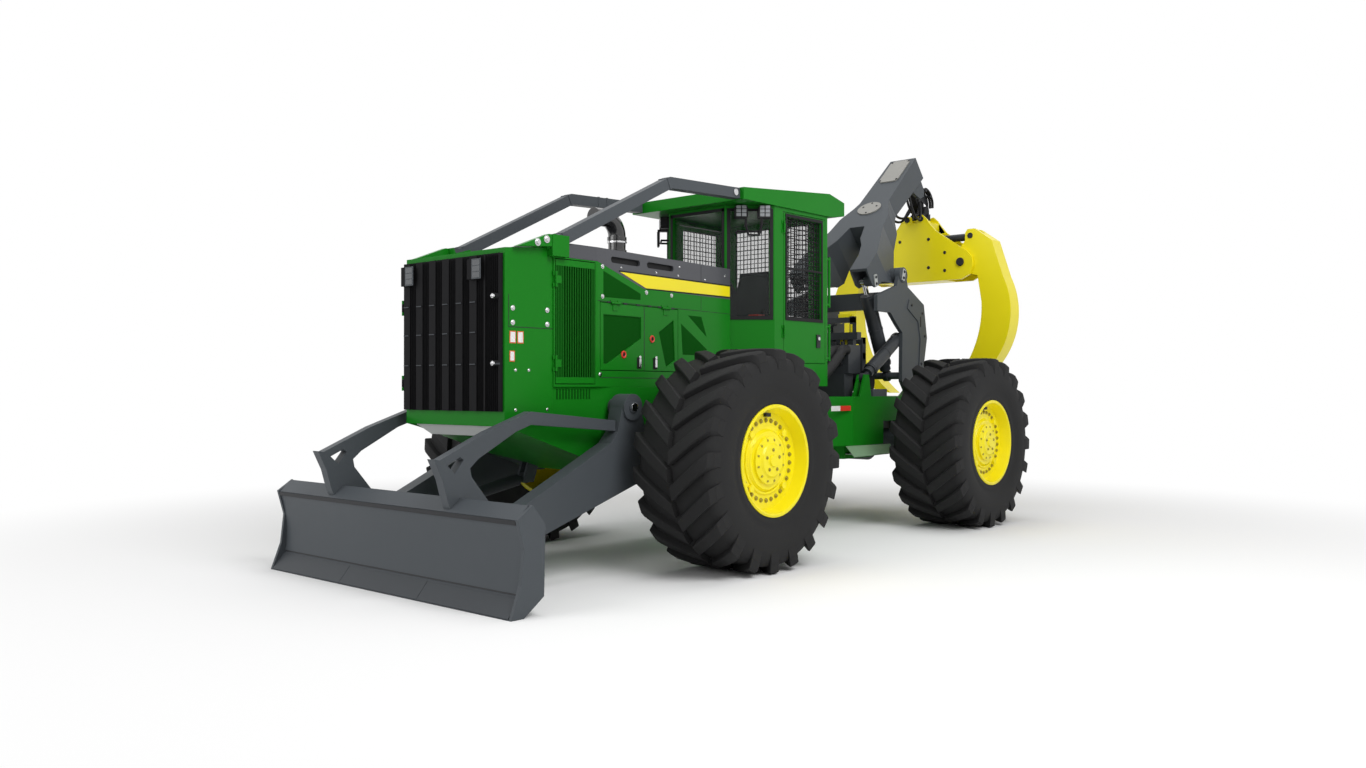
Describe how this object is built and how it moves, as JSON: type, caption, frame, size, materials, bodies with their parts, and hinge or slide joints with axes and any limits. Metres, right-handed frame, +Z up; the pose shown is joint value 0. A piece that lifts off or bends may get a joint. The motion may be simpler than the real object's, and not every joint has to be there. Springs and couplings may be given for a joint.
{
  "type": "grapple skidder",
  "caption": "Articulated four-wheel forestry skidder with a front stacking blade, caged cab, rear arch and boom, and a hanging log grapple.",
  "frame": {"origin": "on the ground, under the middle of the whole machine's box", "axes": "+Z up, the machine faces -Y, +X is its left side"},
  "size_m": [3.466, 8.08, 4.27],
  "materials": {
    "tyre_rubber": "matte",
    "yellow_paint": "gloss",
    "green_paint": "gloss",
    "grey_paint": "satin",
    "black_parts": "matte",
    "dark_steel": "satin",
    "cab_glass": "clear",
    "dark_cylinder": "satin",
    "cover_paint": "satin",
    "chrome_rod": "polished"
  },
  "bodies": {
    "front_chassis": {"front_frame": "grey_paint", "front_axle": "grey_paint", "engine_block": "dark_steel", "cooling_box": "green_paint", "hood": "grey_paint", "side_panels": "green_paint", "lower_panels": "green_paint", "belly_pan": "grey_paint", "cab_shell": "green_paint", "cab_roof": "green_paint", "cab_glass": "cab_glass", "seat": "black_parts", "console": "black_parts", "limb_risers": "grey_paint", "exhaust_stack": "dark_steel", "rear_guard": "black_parts", "cab_fittings": "black_parts"},
    "wheel_front_left": {"tyre_front_left": "tyre_rubber", "rim_front_left": "yellow_paint"},
    "wheel_front_right": {"tyre_front_right": "tyre_rubber", "rim_front_right": "yellow_paint"},
    "rear_chassis": {"rear_frame": "green_paint", "rear_axle": "grey_paint"},
    "wheel_rear_left": {"tyre_rear_left": "tyre_rubber", "rim_rear_left": "yellow_paint"},
    "wheel_rear_right": {"tyre_rear_right": "tyre_rubber", "rim_rear_right": "yellow_paint"},
    "steer_barrel_left": {"steer_barrel_left": "dark_cylinder"},
    "steer_barrel_right": {"steer_barrel_right": "dark_cylinder"},
    "steer_rod_left": {"steer_rod_left": "chrome_rod"},
    "steer_rod_right": {"steer_rod_right": "chrome_rod"},
    "blade": {"blade_board": "grey_paint", "blade_arms": "grey_paint", "blade_braces": "grey_paint"},
    "blade_barrels": {"blade_cylinder_barrels": "dark_cylinder"},
    "blade_rods": {"blade_cylinder_rods": "chrome_rod"},
    "grille_door": {"grille_door": "black_parts"},
    "louvre_door_left": {"louvre_door_left": "green_paint"},
    "louvre_door_right": {"louvre_door_right": "green_paint"},
    "engine_door_left": {"engine_door_left": "green_paint"},
    "engine_door_right": {"engine_door_right": "green_paint"},
    "cab_door_left": {"cab_door_left": "green_paint", "door_guard_left": "black_parts"},
    "cab_door_right": {"cab_door_right": "green_paint", "door_guard_right": "black_parts"},
    "arch": {"arch": "grey_paint"},
    "arch_barrels": {"arch_cylinder_barrels": "dark_cylinder"},
    "arch_rods": {"arch_cylinder_rods": "chrome_rod"},
    "boom": {"boom": "grey_paint", "boom_covers": "cover_paint"},
    "boom_barrels": {"boom_cylinder_barrels": "dark_cylinder"},
    "boom_rods": {"boom_cylinder_rods": "chrome_rod"},
    "link": {"swing_link": "black_parts"},
    "rotator": {"rotator": "black_parts"},
    "grapple": {"grapple_head": "yellow_paint"},
    "tong_left": {"tong_left": "yellow_paint"},
    "tong_right": {"tong_right": "yellow_paint"},
    "tong_barrel": {"tong_cylinder_barrel": "dark_cylinder"},
    "tong_rod": {"tong_cylinder_rod": "chrome_rod"}
  },
  "joints": [
    {"name": "wheel_spin_front_left", "type": "hinge", "parent": "front_chassis", "child": "wheel_front_left", "pos_m": [1.35, -1.48, 0.889], "axis": [1, 0, 0], "continuous": true},
    {"name": "wheel_spin_front_right", "type": "hinge", "parent": "front_chassis", "child": "wheel_front_right", "pos_m": [-1.35, -1.48, 0.889], "axis": [1, 0, 0], "continuous": true},
    {"name": "wheel_spin_rear_left", "type": "hinge", "parent": "rear_chassis", "child": "wheel_rear_left", "pos_m": [1.35, 2.332, 0.889], "axis": [1, 0, 0], "continuous": true},
    {"name": "wheel_spin_rear_right", "type": "hinge", "parent": "rear_chassis", "child": "wheel_rear_right", "pos_m": [-1.35, 2.332, 0.889], "axis": [1, 0, 0], "continuous": true},
    {"name": "articulation", "type": "hinge", "parent": "front_chassis", "child": "rear_chassis", "pos_m": [0, 0.426, 1.04], "axis": [0, 0, 1], "range_deg": [-40, 40]},
    {"name": "steer_pivot_left", "type": "hinge", "parent": "front_chassis", "child": "steer_barrel_left", "pos_m": [0.45, -0.58, 1], "axis": [0, 0, 1], "range_deg": [-8.65, 8.65]},
    {"name": "steer_slide_left", "type": "slide", "parent": "steer_barrel_left", "child": "steer_rod_left", "axis": [-0.0383, 0.9993, 0], "range_m": [-0.2818, 0.2818]},
    {"name": "steer_pivot_right", "type": "hinge", "parent": "front_chassis", "child": "steer_barrel_right", "pos_m": [-0.45, -0.58, 1], "axis": [0, 0, 1], "range_deg": [-8.65, 8.65]},
    {"name": "steer_slide_right", "type": "slide", "parent": "steer_barrel_right", "child": "steer_rod_right", "axis": [0.0383, 0.9993, 0], "range_m": [-0.2818, 0.2818]},
    {"name": "blade_lift", "type": "hinge", "parent": "front_chassis", "child": "blade", "pos_m": [0, -2.18, 1.31], "axis": [1, 0, 0], "range_deg": [-30, 4]},
    {"name": "blade_cylinder_pivot", "type": "hinge", "parent": "front_chassis", "child": "blade_barrels", "pos_m": [0, -2.24, 0.69], "axis": [1, 0, 0], "range_deg": [-31.45, 4.63]},
    {"name": "blade_cylinder_slide", "type": "slide", "parent": "blade_barrels", "child": "blade_rods", "axis": [0, -0.9835, -0.1808], "range_m": [-0.045, 0.3245]},
    {"name": "grille_door_swing", "type": "hinge", "parent": "front_chassis", "child": "grille_door", "pos_m": [-0.628, -3.332, 1.868], "axis": [0, 0, -1], "range_deg": [0, 110]},
    {"name": "louvre_door_swing_left", "type": "hinge", "parent": "front_chassis", "child": "louvre_door_left", "pos_m": [0.631, -2.827, 1.971], "axis": [0, 0, -1], "range_deg": [0, 100]},
    {"name": "louvre_door_swing_right", "type": "hinge", "parent": "front_chassis", "child": "louvre_door_right", "pos_m": [-0.631, -2.827, 1.971], "axis": [0, 0, 1], "range_deg": [0, 100]},
    {"name": "engine_door_lift_left", "type": "hinge", "parent": "front_chassis", "child": "engine_door_left", "pos_m": [0.56971, -1.81713, 2.145], "axis": [0.1084, -0.9941, 0], "range_deg": [0, 85]},
    {"name": "engine_door_lift_right", "type": "hinge", "parent": "front_chassis", "child": "engine_door_right", "pos_m": [-0.56971, -1.81713, 2.145], "axis": [0.1084, 0.9941, 0], "range_deg": [0, 85]},
    {"name": "cab_door_swing_left", "type": "hinge", "parent": "front_chassis", "child": "cab_door_left", "pos_m": [0.691, 0.023, 2.425], "axis": [0, 0, -1], "range_deg": [0, 95]},
    {"name": "cab_door_swing_right", "type": "hinge", "parent": "front_chassis", "child": "cab_door_right", "pos_m": [-0.691, 0.023, 2.425], "axis": [0, 0, 1], "range_deg": [0, 95]},
    {"name": "arch_tilt", "type": "hinge", "parent": "rear_chassis", "child": "arch", "pos_m": [0, 2.67, 1.35], "axis": [-1, 0, 0], "range_deg": [0, 35]},
    {"name": "arch_cylinder_pivot", "type": "hinge", "parent": "rear_chassis", "child": "arch_barrels", "pos_m": [0, 1.732, 1.571], "axis": [-1, 0, 0], "range_deg": [-0.5, 14.06]},
    {"name": "arch_cylinder_slide", "type": "slide", "parent": "arch_barrels", "child": "arch_rods", "axis": [0, 0.8468, 0.5319], "range_m": [-0.002, 0.3826]},
    {"name": "boom_lift", "type": "hinge", "parent": "arch", "child": "boom", "pos_m": [0, 2.4, 2.73], "axis": [-1, 0, 0], "range_deg": [-4, 30]},
    {"name": "boom_cylinder_pivot", "type": "hinge", "parent": "arch", "child": "boom_barrels", "pos_m": [0, 2.442, 1.6], "axis": [-1, 0, 0], "range_deg": [-1.1, 4.99]},
    {"name": "boom_cylinder_slide", "type": "slide", "parent": "boom_barrels", "child": "boom_rods", "axis": [0, -0.4298, 0.9029], "range_m": [-0.0313, 0.2216]},
    {"name": "link_swing", "type": "hinge", "parent": "boom", "child": "link", "pos_m": [0, 3.662, 3.88], "axis": [-1, 0, 0], "range_deg": [-31, 5]},
    {"name": "hanger_swing", "type": "hinge", "parent": "link", "child": "rotator", "pos_m": [0, 3.88, 3.68], "axis": [-1, 0, 0], "range_deg": [-36, 1]},
    {"name": "grapple_turn", "type": "hinge", "parent": "rotator", "child": "grapple", "pos_m": [0, 3.88, 3.54], "axis": [0, 0, 1], "range_deg": [-30, 30]},
    {"name": "tong_open", "type": "hinge", "parent": "grapple", "child": "tong_left", "pos_m": [0.63, 3.88, 2.99], "axis": [0, -1, 0], "range_deg": [-12, 48]},
    {"name": "tong_open_right", "type": "hinge", "parent": "grapple", "child": "tong_right", "pos_m": [-0.63, 3.88, 2.99], "axis": [0, 1, 0], "range_deg": [-12, 48]},
    {"name": "tong_cylinder_pivot", "type": "hinge", "parent": "tong_left", "child": "tong_barrel", "pos_m": [0.734, 3.88, 3.304], "axis": [0, -1, 0], "range_deg": [-49, 13]},
    {"name": "tong_cylinder_slide", "type": "slide", "parent": "tong_barrel", "child": "tong_rod", "axis": [-1, 0, 0], "range_m": [-0.544, 0.1375]}
  ],
  "couplings": [
    {"joint": "steer_pivot_left", "follows": "articulation", "ratio": 0.20371},
    {"joint": "steer_slide_left", "follows": "articulation", "m_per_rad": 0.40077},
    {"joint": "steer_pivot_right", "follows": "articulation", "ratio": 0.20371},
    {"joint": "steer_slide_right", "follows": "articulation", "m_per_rad": -0.40077},
    {"joint": "blade_cylinder_pivot", "follows": "blade_lift", "ratio": 1.0316},
    {"joint": "blade_cylinder_slide", "follows": "blade_lift", "m_per_rad": -0.616},
    {"joint": "arch_cylinder_pivot", "follows": "arch_tilt", "ratio": 0.38752},
    {"joint": "arch_cylinder_slide", "follows": "arch_tilt", "m_per_rad": 0.62303},
    {"joint": "boom_cylinder_pivot", "follows": "boom_lift", "ratio": 0.14964},
    {"joint": "boom_cylinder_slide", "follows": "boom_lift", "m_per_rad": 0.41947},
    {"joint": "link_swing", "follows": "boom_lift", "ratio": -1},
    {"joint": "hanger_swing", "follows": "arch_tilt", "ratio": -1},
    {"joint": "tong_open_right", "follows": "tong_open", "ratio": 1},
    {"joint": "tong_cylinder_pivot", "follows": "tong_open", "ratio": -1},
    {"joint": "tong_cylinder_slide", "follows": "tong_open", "m_per_rad": -0.64692}
  ]
}
